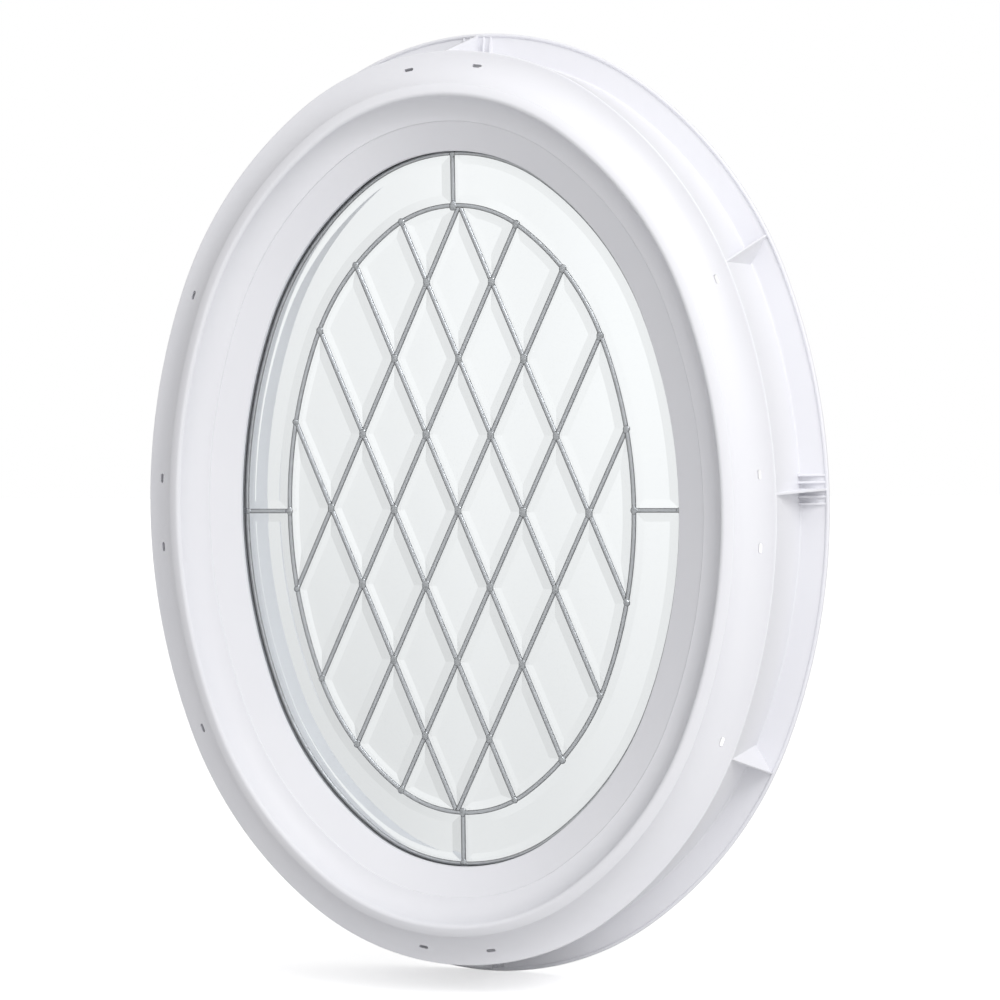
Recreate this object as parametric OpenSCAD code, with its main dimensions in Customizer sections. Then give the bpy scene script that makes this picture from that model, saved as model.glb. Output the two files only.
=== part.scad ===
// Oval picture window: a moulded frame with a nail fin, and a sealed unit with a leaded panel.
// The window stands upright: X is its width, Z its height, and its front looks towards -Y.
// The origin is the middle of the oval, on the plane of the wall that the fin lies against.
// Sections are drawn as [distance out from the sight edge, distance in front of the wall plane].

/* [Sight opening] */
// Width of the glass that shows inside the frame
sight_w = 480; // [440:5:560]
// Height of the glass that shows inside the frame
sight_h = 750; // [700:5:820]
// Distance of the sight edge in front of the wall plane
sight_depth = 116; // [100:1:140]

/* [Casing] */
// Width of the sloping inner face
slope_w = 28.5; // [24:0.5:32]
// Rise of the sloping inner face
slope_rise = 16.4; // [14:0.2:18]
// Height of the small step between the sloping face and the hollow
quirk_rise = 1.6; // [1:0.2:2.4]
// Lean of that step
quirk_lean = 0.8; // [0.4:0.1:1.2]
// Radius of the hollow between the step and the crest
inner_cove_r = 28; // [26:0.5:30]
// Slope of that hollow where it leaves the step, in degrees
inner_cove_lift = 12; // [10:1:14]
// Radius of the gently rounded crown
crown_r = 24; // [22:0.5:28]
// Distance of the crown's middle from the sight edge
crown_out = 50.3; // [48:0.5:52]
// Height of the crown over the sight edge
crown_rise = 46.5; // [44:0.5:50]
// Radius of the crest where the inner hollow meets the crown
crest_r = 4; // [2:0.5:6]
// Radius of the outer hollow
outer_cove_r = 36; // [32:1:38]
// Distance of the casing's outer edge from the sight edge
casing_w = 102; // [98:1:106]
// Height of the casing's outer edge over the sight edge
edge_rise = 10.5; // [8:0.5:14]
// Radius of the casing's outer edge
edge_r = 1.5; // [1:0.25:3]
// Radius of the nose at the sight edge
nose_r = 1; // [0.5:0.25:1.5]
// Thickness of the moulded wall
wall = 4; // [3:0.25:5]
// Outward draft of the outer wall, over its whole depth
wall_draft = 2.5; // [1:0.5:5]

/* [Nail fin] */
// Width of the fin beyond the outer wall
fin_w = 31; // [24:1:40]
// Thickness of the fin
fin_thick = 3.5; // [3:0.5:5]
// Radius of the bead along the fin's rim
bead_r = 2; // [1.5:0.25:3]
// Radius of the fillet between the fin and the outer wall
fin_fillet = 3; // [2:0.5:5]

/* [Gussets and slots] */
// Thickness of the gussets on the fin
gusset_thick = 2.2; // [1.5:0.1:3]
// Distance between the gussets of a group
gusset_pitch = 7.5; // [6:0.25:9]
// Height of the low gussets over the fin
low_gusset_rise = 7; // [4:0.5:12]
// Height of the side groups over the middle of the window
side_group_up = 17; // [0:1:30]
// Direction of the single gussets, seen from the middle of the window, in degrees
corner_gusset_turn = 44; // [40:1:48]
// Length of the weep slots in the outer hollow
slot_l = 10; // [8:0.5:12]
// Width of the weep slots
slot_w = 3.4; // [2.5:0.1:4]
// Distance of the weep slots from the sight edge
slot_out = 86.5; // [82:0.5:90]
// Distance of the paired slots from the quarter points
slot_pair = 37; // [30:1:40]
// Height of the single side slots over and under the middle
slot_far = 233; // [200:1:240]

/* [Back of the frame] */
// Distance of the rebate's wall outside the sight edge
rebate_w = 13; // [12:0.5:16]
// Thickness of the lip in front of the rebate
lip_thick = 5; // [4:0.5:7]
// Thickness of the glazing sleeve
sleeve_thick = 4.5; // [3.5:0.25:6]
// Outward draft of the sleeve behind the glass
sleeve_draft = 1.5; // [0.5:0.25:2]
// Thickness of the ribs between the sleeve and the outer wall
rib_thick = 3; // [2:0.5:5]
// Distance of the ribs in front of the wall plane
rib_back = 6; // [3:1:15]

/* [Sealed unit] */
// Thickness of the glazing tape
tape_thick = 1.5; // [1:0.25:3]
// Thickness of each clear pane
pane_thick = 3; // [2.5:0.5:4]
// Clearance between the panes' edge and the rebate's wall
pane_clear = 1.5; // [1:0.25:3]
// Thickness of each spacer
space = 5.2; // [4.5:0.1:8]
// Distance of the spacers and the tape outside the sight edge
spacer_in = 1.8; // [1:0.1:3]
// Distance of the spacers' outer edge outside the sight edge
spacer_out = 9.5; // [8:0.5:11]
// Depth of the stop ring behind the unit
stop_depth = 11; // [9:0.5:16]
// Distance of the stop ring's sloping face outside the sight edge
stop_in = 2; // [1:0.5:4]
// Depth of the groove that holds the stop ring
groove_deep = 1.2; // [0.8:0.1:2]
// Clearance round the stop ring
stop_clear = 0.2; // [0.1:0.05:0.3]

/* [Leaded panel] */
// Width of the inner oval, along the middle of its came
oval_w = 379; // [340:1:400]
// Height of the inner oval, along the middle of its came
oval_h = 639; // [600:1:650]
// Width of a diamond from crossing to crossing
diamond_w = 71; // [64:0.5:76]
// Turn of the hand-laid lattice, in degrees
lattice_turn = -1.2; // [-2:0.1:2]
// Width of a came
came_w = 4.8; // [4:0.1:6]
// Thickness of a came over its two rounded faces
came_thick = 5; // [4.6:0.1:5.4]
// Thickness of a came's heart, between the glass
heart = 1.2; // [0.8:0.1:1.6]
// Height of the channel that takes the glass
channel = 2.6; // [2.4:0.1:3]
// Distance of the border came's inner edge inside the sight edge
border_in = 3.2; // [2:0.1:5]
// Distance of the border came's outer edge outside the sight edge
border_out = 6.5; // [5:0.5:8]
// Thickness of the bevelled glass at its middle
glass_thick = 4.4; // [4:0.1:5]
// Width of the bevel that shows along each edge of the glass
bevel_w = 9; // [6:0.5:12]
// Clearance between the glass and the cames
glass_clear = 0.1; // [0.05:0.05:0.2]
// Radius of a solder joint
solder_r = 4.3; // [3.5:0.1:5]
// Height of a solder joint over the cames
solder_rise = 0.7; // [0.4:0.1:1.2]

/* [Hidden] */
$fn = 180;
over = 1;
bow_step = 9;
rim_step = 2;

// Arcs of the oval: half the turn of each end, half the turn of each side, and what is left
end_half = atan(3 / 4);
side_half = atan(44 / 117);
mid_turn = 90 - end_half - side_half;

function eighth(x) = round(8 * x) / 8;

// How much fuller an oval's shoulders are than the mean of its half width and half height
shoulder_fullness = 1.04;

// Radii of an oval's ends, shoulders and sides, in whole eighths, for a half width and a half height
function oval_radii(a, b) =
    let (mid = eighth(shoulder_fullness * sqrt(a * b)),
         u = a - mid * (cos(side_half) - sin(end_half)),
         v = b - mid * (cos(end_half) - sin(side_half)),
         k = sin(end_half) * sin(side_half) - (1 - cos(side_half)) * (1 - cos(end_half)))
    [eighth((u * sin(side_half) - v * (1 - cos(side_half))) / k), mid,
     eighth((v * sin(end_half) - u * (1 - cos(end_half))) / k)];

// An oval as eight arcs that run into each other: [centre, radius, first angle, turn]
function oval_arcs(a, b) =
    let (r = oval_radii(a, b), to_end = r[1] - r[0], to_side = r[2] - r[1],
         m = [half_across(r) - r[2] + to_side * cos(side_half), to_side * sin(side_half)],
         end_y = m.y + to_end * cos(end_half), side_x = half_across(r) - r[2])
    [[[0, end_y], r[0], 90 - end_half, 2 * end_half],
     [[-m.x, m.y], r[1], 90 + end_half, mid_turn],
     [[-side_x, 0], r[2], 180 - side_half, 2 * side_half],
     [[-m.x, -m.y], r[1], 180 + side_half, mid_turn],
     [[0, -end_y], r[0], 270 - end_half, 2 * end_half],
     [[m.x, -m.y], r[1], 270 + end_half, mid_turn],
     [[side_x, 0], r[2], -side_half, 2 * side_half],
     [m, r[1], side_half, mid_turn]];

// Half the width of an oval with given radii
function half_across(r) =
    r[0] * sin(end_half) + r[1] * (cos(side_half) - sin(end_half)) + r[2] * (1 - cos(side_half));

sight_arcs = oval_arcs(sight_w / 2, sight_h / 2);
panel_arcs = oval_arcs(oval_w / 2, oval_h / 2);

// The point where two circles meet, on the left of the way from the first centre to the second
function meet(c1, r1, c2, r2) =
    let (gap = norm(c2 - c1), way = (c2 - c1) / gap,
         along = (r1 * r1 - r2 * r2 + gap * gap) / (2 * gap),
         aside = sqrt(r1 * r1 - along * along))
    c1 + along * way + aside * [-way.y, way.x];

function toward(turn, r) = r * [cos(turn), sin(turn)];

// Casing: centres and meeting points of its arcs
slope_turn = atan(slope_rise / slope_w);
crease = [slope_w, sight_depth + slope_rise];
quirk = crease + [quirk_lean, quirk_rise];
edge_depth = sight_depth + edge_rise;
inner_cove = quirk + toward(90 + inner_cove_lift, inner_cove_r);
outer_cove = [casing_w - edge_r, edge_depth + outer_cove_r];
crown = [crown_out, sight_depth + crown_rise - crown_r];
crest = meet(inner_cove, inner_cove_r + crest_r, crown, crown_r - crest_r);
crest_foot = crest + crest_r / (inner_cove_r + crest_r) * (inner_cove - crest);
crown_end = meet(crown, crown_r, outer_cove, outer_cove_r);
nose = [nose_r, sight_depth + nose_r * tan(slope_turn) - nose_r / cos(slope_turn)];
wall_foot = casing_w + wall_draft;
fin_out = wall_foot + fin_w;

// Back of the casing: the sleeve round the unit, and how many ribs stand under each arc
sleeve_out = rebate_w + sleeve_thick;
rib_count = [3, 2, 5, 2, 3, 2, 5, 2];

// Glazing, from the lip back to the stop ring
lip_back = sight_depth - lip_thick;
outer_pane_front = lip_back - tape_thick;
outer_pane_back = outer_pane_front - pane_thick;
panel_depth = outer_pane_back - space - came_thick / 2;
inner_pane_front = panel_depth - came_thick / 2 - space;
inner_pane_back = inner_pane_front - pane_thick;
stop_back = inner_pane_back - stop_depth;
pane_out = rebate_w - pane_clear;
groove_front = inner_pane_back - stop_depth / 3;
groove_h = stop_depth / 3;

// Lattice: crossings lie at whole steps [i, j] with i + j even, and its points reach the oval
reach = 4;
step_x = diamond_w / 2;
step_y = oval_h / 2 / reach;
lattice_slope = atan(step_y / step_x);
line_gap = 2 * step_x * sin(lattice_slope);
cap_rise = (came_thick - channel) / 2;
cap_r = (came_w * came_w / 4 + cap_rise * cap_rise) / (2 * cap_rise);
glass_back = -channel / 2 + glass_clear;
glass_front = glass_back + glass_thick;
glass_gap = heart / 2 + glass_clear;
bevel_hidden = came_w / 2 - glass_gap;
bevel_all = bevel_hidden + bevel_w;
bevel_slope = (glass_front - channel / 2 + glass_clear) / bevel_w;
glass_edge = glass_front - bevel_slope * bevel_all;
border_mid = came_w / 2 - border_in;
bar_clear = 0.05;
far = sight_h;

function spot(i, j) =
    [i * step_x * cos(lattice_turn) - j * step_y * sin(lattice_turn),
     i * step_x * sin(lattice_turn) + j * step_y * cos(lattice_turn)];

// Stands up what is modelled lying with its face upwards
module upright() { rotate([90, 0, 0]) children(); }

// Carries a section half way round the centre of an arc, from the whole quarter that suits the arc
module half_round(arc) {
    quarter = round((arc[2] + arc[3] / 2) / 90) - 1;
    translate(arc[0]) rotate(90 * quarter) rotate_extrude(angle = 180) translate([arc[1], 0]) children();
}

// Carries a section along one arc of an oval; the sector is cut on the planes that it shares
// with its neighbours, so that the arcs close up without a step
module along(arc) {
    first = arc[2];
    last = arc[2] + arc[3];
    cut = arc[1] + eighth(fin_out) + over;
    intersection() {
        half_round(arc) children();
        translate([0, 0, -far]) linear_extrude(2 * far)
            polygon([arc[0], arc[0] + toward(first, cut), arc[0] + toward((first + last) / 2, 2 * cut),
                     arc[0] + toward(last, cut)]);
    }
}

module around(arcs) {
    for (arc = arcs)
        along(arc) children();
}

// A flat plate that fills some arcs of an oval, from their middle out to a distance from the oval
module plate(arcs, out, back, front) {
    translate([0, 0, back]) linear_extrude(front - back)
        polygon([for (arc = arcs) each bow(arc[0], arc[1] + out, arc[2], arc[2] + arc[3], rim_step)]);
}

// Points along an arc, after its first one, no more than a step of the turn apart
function bow(centre, r, from, to, step = bow_step) =
    let (n = ceil(abs(to - from) / step))
    [for (k = [1:n]) let (t = from + (to - from) * k / n) centre + toward(t, r)];

// Direction from one point to another, in degrees, from -90 up to 270
function heading(from, to) =
    let (t = atan2(to.y - from.y, to.x - from.x))
    t < -90 ? t + 360 : t;

// The casing's front, from the lip over the crest and the crown to the outer edge
front_line = concat(
    [[0, lip_back], nose - [nose_r, 0]],
    bow(nose, nose_r, 180, 90 + slope_turn),
    [crease, quirk],
    bow(inner_cove, inner_cove_r, heading(inner_cove, quirk), heading(inner_cove, crest_foot)),
    bow(crest, crest_r, heading(crest, crest_foot), heading(crown, crest)),
    bow(crown, crown_r, heading(crown, crest), heading(crown, crown_end)),
    bow(outer_cove, outer_cove_r, heading(outer_cove, crown_end), 270),
    bow([casing_w - edge_r, edge_depth - edge_r], edge_r, 90, 0));

// The fin, from the foot of the outer wall round the bead to the wall plane
fin_line = concat(
    [[wall_foot, fin_thick + fin_fillet]],
    bow([wall_foot + fin_fillet, fin_thick + fin_fillet], fin_fillet, 180, 270),
    [[fin_out - 2 * bead_r, fin_thick]],
    bow([fin_out - bead_r, fin_thick], bead_r, 180, 0),
    [[fin_out, 0]]);

// A line that runs a given depth behind the casing's front, from the sleeve out to the outer wall
function behind(depth) =
    let (inside = sleeve_out - wall + depth, under_crease = crease + toward(slope_turn - 90, depth),
         dip = meet(inner_cove, inner_cove_r + depth, crown, crown_r - depth),
         rise = meet(crown, crown_r - depth, outer_cove, outer_cove_r + depth),
         last = 270 - asin((depth - edge_r) / (outer_cove_r + depth)))
    concat(
        [[inside, under_crease.y - (under_crease.x - inside) * tan(slope_turn)], under_crease],
        bow(inner_cove, inner_cove_r + depth, heading(inner_cove, quirk), heading(inner_cove, dip)),
        bow(crown, crown_r - depth, heading(crown, dip), heading(crown, rise)),
        bow(outer_cove, outer_cove_r + depth, heading(outer_cove, rise), last));

function reversed(points) = [for (k = [len(points) - 1:-1:0]) points[k]];

// The back: the rear edge of the outer wall, the hollow, the sleeve and the groove for the stop
back_line = concat(
    [[wall_foot - wall, 0]],
    reversed(behind(wall)),
    [[sleeve_out, 0], [rebate_w + sleeve_draft, 0], [rebate_w, stop_back]],
    [for (p = [[0, groove_front - groove_h], [groove_deep, groove_front - groove_h],
               [groove_deep, groove_front], [0, groove_front], [0, lip_back]]) [rebate_w, 0] + p]);

module frame_section() {
    polygon(concat(front_line, fin_line, back_line));
}

// The ribs under one arc, upright plates that reach half way into the walls round the hollow
module ribs(n) {
    arc = sight_arcs[n];
    part = arc[3] / rib_count[n];
    for (k = [0:rib_count[n] - 1])
        translate(arc[0]) rotate(arc[2] + (k + 0.5) * part) translate([arc[1], 0]) rotate([90, 0, 0])
            linear_extrude(rib_thick, center = true)
                polygon(concat([[sleeve_out - wall / 2, rib_back]], behind(wall / 2),
                               [[wall_foot - wall / 2, rib_back]]));
}

// A through slot with round ends, at a distance aside of the middle of an arc
module slot(arc, aside) {
    turn = arc[2] + arc[3] / 2 + asin(aside / (arc[1] + slot_out));
    translate(arc[0]) rotate(turn) translate([arc[1] + slot_out, 0, sight_depth - wall])
        linear_extrude(crown_rise + wall) {
            square([slot_w, slot_l - slot_w], center = true);
            for (side = [-1, 1])
                translate([0, side * (slot_l - slot_w) / 2]) circle(slot_w / 2, $fn = 24);
        }
}

// A tall gusset that runs up the whole outer wall, on a ray that meets the wall at a given distance
module high_gusset(start) {
    top = edge_depth - 2 * edge_r;
    gusset(start, [[-wall / 2, top], [0, top]]);
}

module low_gusset(start) {
    top = fin_thick + low_gusset_rise;
    gusset(start, [[-wall / 2, top], [wall_draft + fin_fillet, top]]);
}

// An upright plate on the fin, from the wall's inside out to the bead
module gusset(start, top_line) {
    end = fin_out - bead_r - casing_w;
    translate([start, 0]) rotate([90, 0, 0]) linear_extrude(gusset_thick, center = true)
        polygon(concat([[-wall / 2, fin_thick / 2]], top_line,
                       [[end, fin_thick + bead_r / 2], [end, fin_thick / 2]]));
}

// A group of five gussets at a quarter point, on a side or an end of the oval
module gusset_group(half, turn, up) {
    rotate(turn) translate([0, up, 0]) {
        high_gusset(half + casing_w);
        for (k = [-2, -1, 1, 2])
            translate([0, k * gusset_pitch, 0]) low_gusset(half + casing_w);
    }
}

// How far a ray from the middle of the window goes to an arc, at a distance out from the sight edge
function ray_reach(arc, turn, out) =
    let (ahead = arc[0] * toward(turn, 1))
    ahead + sqrt((arc[1] + out) * (arc[1] + out) - arc[0] * arc[0] + ahead * ahead);

module frame_arc(n) {
    arc = sight_arcs[n];
    kind = n % 4;
    ribs(n);
    difference() {
        along(arc) frame_section();
        if (kind == 0)
            for (aside = [-slot_pair, slot_pair])
                slot(arc, aside);
        if (kind == 2)
            for (aside = [-slot_far, -slot_pair, slot_pair, slot_far])
                slot(arc, aside);
    }
    if (kind == 0)
        gusset_group(norm(arc[0]) + arc[1], arc[2] + arc[3] / 2, 0);
    if (kind == 2)
        gusset_group(arc[1] - norm(arc[0]), arc[2] + arc[3] / 2, (n == 6 ? 1 : -1) * side_group_up);
    if (kind % 2 == 1) {
        turn = [0, 180 - corner_gusset_turn, 0, 180 + corner_gusset_turn, 0, -corner_gusset_turn, 0,
                corner_gusset_turn][n];
        rotate(turn) high_gusset(ray_reach(arc, turn, casing_w));
    }
}

module frame() {
    color("whitesmoke") upright()
        for (n = [0:len(sight_arcs) - 1])
            frame_arc(n);
}

module ring(from, to, back, front) {
    around(sight_arcs) translate([from, back]) square([to - from, front - back]);
}

module glazing_tape() {
    color("dimgray") upright() ring(spacer_in, pane_out, outer_pane_front, lip_back);
}

module pane(back) {
    plate(sight_arcs, pane_out, back, back + pane_thick);
}

module outer_pane() {
    color("lightcyan", 0.3) upright() pane(outer_pane_back);
}

module inner_pane() {
    color("lightcyan", 0.3) upright() pane(inner_pane_back);
}

module outer_spacer() {
    color("dimgray") upright() ring(spacer_in, spacer_out, outer_pane_back - space, outer_pane_back);
}

module inner_spacer() {
    color("dimgray") upright() ring(spacer_in, spacer_out, inner_pane_front, inner_pane_front + space);
}

module stop_ring() {
    out = rebate_w - stop_clear;
    color("whitesmoke") upright() around(sight_arcs) {
        polygon([[stop_in, inner_pane_back], [stop_in, inner_pane_back - stop_depth / 4],
                 [out - sleeve_thick, stop_back], [out, stop_back], [out, inner_pane_back]]);
        translate([out - over, groove_front - groove_h + stop_clear])
            square([over + groove_deep, groove_h - 2 * stop_clear]);
    }
}

// Section of a came: two rounded faces joined by a heart
module came_section() {
    half = asin(came_w / 2 / cap_r);
    lift = channel / 2 + cap_rise - cap_r;
    top = bow([0, lift], cap_r, 90 + half, 90 - half);
    polygon(concat([[-heart / 2, channel / 2], [-came_w / 2, channel / 2]], top, [[heart / 2, channel / 2]],
                   [[heart / 2, -channel / 2]], [for (k = [len(top) - 1:-1:0]) [top[k].x, -top[k].y]],
                   [[-came_w / 2, -channel / 2], [-heart / 2, -channel / 2]]));
}

// A length of came from one spot to another, lying in the panel's plane
module came(from, to) {
    way = to - from;
    translate(from) rotate(atan2(way.y, way.x)) rotate([90, 0, 90]) linear_extrude(norm(way)) came_section();
}

module in_panel() { upright() translate([0, 0, panel_depth]) children(); }

// Steps from one end of a lattice line to the other: the outermost lines stop at the lattice's point
function line_from(k) = k == reach ? 0 : -2 * reach;
function line_to(k) = k == -reach ? 0 : 2 * reach;

module line_came(k, rise) {
    if (rise > 0)
        came(spot(-line_to(k), k - line_to(k)), spot(-line_from(k), k - line_from(k)));
    else
        came(spot(line_from(k), k - line_from(k)), spot(line_to(k), k - line_to(k)));
}

module inside_oval() {
    plate(panel_arcs, -came_w / 2, -came_thick, came_thick);
}

module rising_came(n) {
    color("silver") in_panel() intersection() {
        line_came(2 * n - 6, 1);
        inside_oval();
    }
}

// The falling cames are cut to fit between the rising ones
module falling_came(n) {
    color("silver") in_panel() difference() {
        intersection() {
            line_came(2 * n - 6, -1);
            inside_oval();
        }
        for (k = [-reach:2:reach])
            translate(spot(0, k)) rotate(lattice_slope + lattice_turn)
                cube([4 * far, came_w, 2 * came_thick], center = true);
    }
}

module oval_came() {
    color("silver") in_panel() around(panel_arcs) came_section();
}

module border_came() {
    color("silver") in_panel() around(sight_arcs) {
        translate([border_mid, 0]) came_section();
        translate([border_mid, -came_thick / 2]) square([border_out - border_mid, came_thick]);
    }
}

module bars() {
    in_edge = came_w / 2 + bar_clear;
    out_edge = border_in + bar_clear;
    color("silver") in_panel() for (side = [-1, 1]) {
        came([0, side * (oval_h / 2 + in_edge)], [0, side * (sight_h / 2 - out_edge)]);
        came([side * (oval_w / 2 + in_edge), 0], [side * (sight_w / 2 - out_edge), 0]);
    }
}

// Section of a strip of glass, bevelled in front along both edges
module bevelled_section(from, to) {
    polygon([[from, glass_back], [to, glass_back], [to, glass_edge], [to - bevel_all, glass_front],
             [from + bevel_all, glass_front], [from, glass_edge]]);
}

// Glass between two neighbouring lines of the lattice, or outside its last line
module strip(n, rise) {
    from = (n - 3) * line_gap + glass_gap;
    open = (n == 0 || n == 5) ? far : line_gap - 2 * glass_gap;
    low = n == 0 ? -2 * line_gap - glass_gap - far : from;
    turn = rise > 0 ? lattice_slope : -lattice_slope;
    rotate(turn + lattice_turn) rotate([90, 0, 90]) translate([0, 0, -far]) linear_extrude(2 * far)
        bevelled_section(low, low + open);
}

module diamond(m, n) {
    color("azure", 0.4) in_panel() intersection() {
        strip(m, 1);
        strip(n, -1);
    }
}

// Cuts the bevel of glass along some arcs of an oval; side is 1 for an outer edge and -1 round a hole
module oval_bevel(arcs, edge, side) {
    drop = over * bevel_slope;
    around(arcs)
        polygon([[edge - side * (bevel_all + over), glass_front + drop],
                 [edge + side * over, glass_edge - drop], [edge + side * over, glass_front + drop]]);
}

module edge_glass(m, n) {
    color("azure", 0.4) in_panel() difference() {
        intersection() {
            strip(m, 1);
            strip(n, -1);
            plate(panel_arcs, -glass_gap, -came_thick, came_thick);
        }
        oval_bevel(panel_arcs, -glass_gap, 1);
    }
}

// One quarter of the border, between the two ovals and two bars
module border_glass(side, up) {
    quarter = [6, 7, 0];
    outer = [for (k = quarter) sight_arcs[k]];
    inner = [for (k = quarter) panel_arcs[k]];
    out = border_mid - glass_gap;
    color("azure", 0.4) in_panel() mirror([side, 0]) mirror([0, up]) difference() {
        intersection() {
            plate(sight_arcs, out, -came_thick, came_thick);
            rotate([90, 0, 90]) linear_extrude(far) bevelled_section(glass_gap, far);
            rotate([90, 0, 0]) translate([0, 0, -far]) linear_extrude(far) bevelled_section(glass_gap, far);
        }
        plate(panel_arcs, glass_gap, -2 * came_thick, 2 * came_thick);
        oval_bevel(outer, out, 1);
        oval_bevel(inner, glass_gap, -1);
    }
}

// Where lines of the lattice cross: every second whole step within the lattice's four points
crossings = [for (i = [-reach:reach], j = [-reach:reach])
             if ((i + j) % 2 == 0 && abs(i) + abs(j) <= reach && !(i == 0 && abs(j) == reach)) spot(i, j)];

// How far along a line from a spot the inner oval lies, taken as an ellipse
function to_oval(from, turn) =
    let (a = oval_w / 2, b = oval_h / 2, u = [cos(turn) / a, sin(turn) / b], p = [from.x / a, from.y / b])
    (-u * p + sqrt((u * p) * (u * p) - (u * u) * (p * p - 1))) / (u * u);

line_ends = [for (k = [2 - reach:2:reach - 2], rise = [-1, 1], way = [0, 180])
             let (turn = rise * lattice_slope + lattice_turn + way, p = spot(0, k))
             p + toward(turn, to_oval(p, turn))];
corner_ends = [for (k = [-reach, reach], rise = [-1, 1])
               let (turn = rise * lattice_slope + lattice_turn + (rise * k > 0 ? 180 : 0), p = spot(0, k))
               p + toward(turn, to_oval(p, turn))];
bar_ends = [for (side = [-1, 1], e = [[0, oval_h / 2], [0, sight_h / 2 - border_in + came_w / 2],
                                      [oval_w / 2, 0], [sight_w / 2 - border_in + came_w / 2, 0]]) side * e];

// A low dome of solder that sits on the faces of the cames
module solder_joint(at) {
    r = (solder_r * solder_r + solder_rise * solder_rise) / (2 * solder_rise);
    foot_turn = asin(solder_r / r);
    translate([at.x, at.y, came_thick / 2]) rotate_extrude($fn = 48)
        polygon(concat([[0, 0], [solder_r, 0]], bow([0, solder_rise - r], r, 90 - foot_turn, 90)));
}

module solder_joints() {
    color("silver") in_panel()
        for (at = concat(crossings, line_ends, corner_ends, bar_ends))
            solder_joint(at);
}

frame();
stop_ring();
glazing_tape();
outer_pane();
inner_pane();
outer_spacer();
inner_spacer();
border_came();
oval_came();
bars();
rising_came(1);  // rising_came_1
rising_came(2);  // rising_came_2
rising_came(3);  // rising_came_3
rising_came(4);  // rising_came_4
rising_came(5);  // rising_came_5
falling_came(1);  // falling_came_1
falling_came(2);  // falling_came_2
falling_came(3);  // falling_came_3
falling_came(4);  // falling_came_4
falling_came(5);  // falling_came_5
solder_joints();
diamond(1, 1);  // diamond_1_1
diamond(1, 2);  // diamond_1_2
diamond(1, 3);  // diamond_1_3
diamond(1, 4);  // diamond_1_4
diamond(2, 1);  // diamond_2_1
diamond(2, 2);  // diamond_2_2
diamond(2, 3);  // diamond_2_3
diamond(2, 4);  // diamond_2_4
diamond(3, 1);  // diamond_3_1
diamond(3, 2);  // diamond_3_2
diamond(3, 3);  // diamond_3_3
diamond(3, 4);  // diamond_3_4
diamond(4, 1);  // diamond_4_1
diamond(4, 2);  // diamond_4_2
diamond(4, 3);  // diamond_4_3
diamond(4, 4);  // diamond_4_4
edge_glass(1, 0);  // edge_glass_1_0
edge_glass(2, 0);  // edge_glass_2_0
edge_glass(3, 0);  // edge_glass_3_0
edge_glass(4, 0);  // edge_glass_4_0
edge_glass(1, 5);  // edge_glass_1_5
edge_glass(2, 5);  // edge_glass_2_5
edge_glass(3, 5);  // edge_glass_3_5
edge_glass(4, 5);  // edge_glass_4_5
edge_glass(0, 1);  // edge_glass_0_1
edge_glass(0, 2);  // edge_glass_0_2
edge_glass(0, 3);  // edge_glass_0_3
edge_glass(0, 4);  // edge_glass_0_4
edge_glass(5, 1);  // edge_glass_5_1
edge_glass(5, 2);  // edge_glass_5_2
edge_glass(5, 3);  // edge_glass_5_3
edge_glass(5, 4);  // edge_glass_5_4
edge_glass(5, 0);  // left_glass
edge_glass(0, 5);  // right_glass
border_glass(1, 0);  // border_glass_upper_left
border_glass(0, 0);  // border_glass_upper_right
border_glass(1, 1);  // border_glass_lower_left
border_glass(0, 1);  // border_glass_lower_right
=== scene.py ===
"""Looks of the oval picture window: a moulded white frame round a sealed unit with a leaded, bevelled panel."""

import math
import random

import bmesh
import bpy
from mathutils import Matrix, Vector


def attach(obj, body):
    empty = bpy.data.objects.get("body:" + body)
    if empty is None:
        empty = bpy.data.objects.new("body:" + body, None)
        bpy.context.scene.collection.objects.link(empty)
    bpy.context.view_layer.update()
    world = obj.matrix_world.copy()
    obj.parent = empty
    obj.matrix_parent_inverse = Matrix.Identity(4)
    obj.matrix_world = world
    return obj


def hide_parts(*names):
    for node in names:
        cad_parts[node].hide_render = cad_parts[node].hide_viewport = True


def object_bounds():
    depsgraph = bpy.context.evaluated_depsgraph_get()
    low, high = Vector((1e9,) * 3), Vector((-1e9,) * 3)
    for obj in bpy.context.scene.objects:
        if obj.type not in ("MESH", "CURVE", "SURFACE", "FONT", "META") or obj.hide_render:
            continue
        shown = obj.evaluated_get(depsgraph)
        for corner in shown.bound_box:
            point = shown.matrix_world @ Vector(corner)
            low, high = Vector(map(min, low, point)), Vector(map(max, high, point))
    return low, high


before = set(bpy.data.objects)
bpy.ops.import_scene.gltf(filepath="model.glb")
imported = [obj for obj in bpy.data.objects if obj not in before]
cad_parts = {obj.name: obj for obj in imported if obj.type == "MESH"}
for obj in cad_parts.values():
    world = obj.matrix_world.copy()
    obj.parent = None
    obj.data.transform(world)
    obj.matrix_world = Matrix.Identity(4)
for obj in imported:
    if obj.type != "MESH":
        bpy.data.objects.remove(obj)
cad_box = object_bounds()

MM = 0.001
FRONT = Vector((0, -1, 0))

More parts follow.
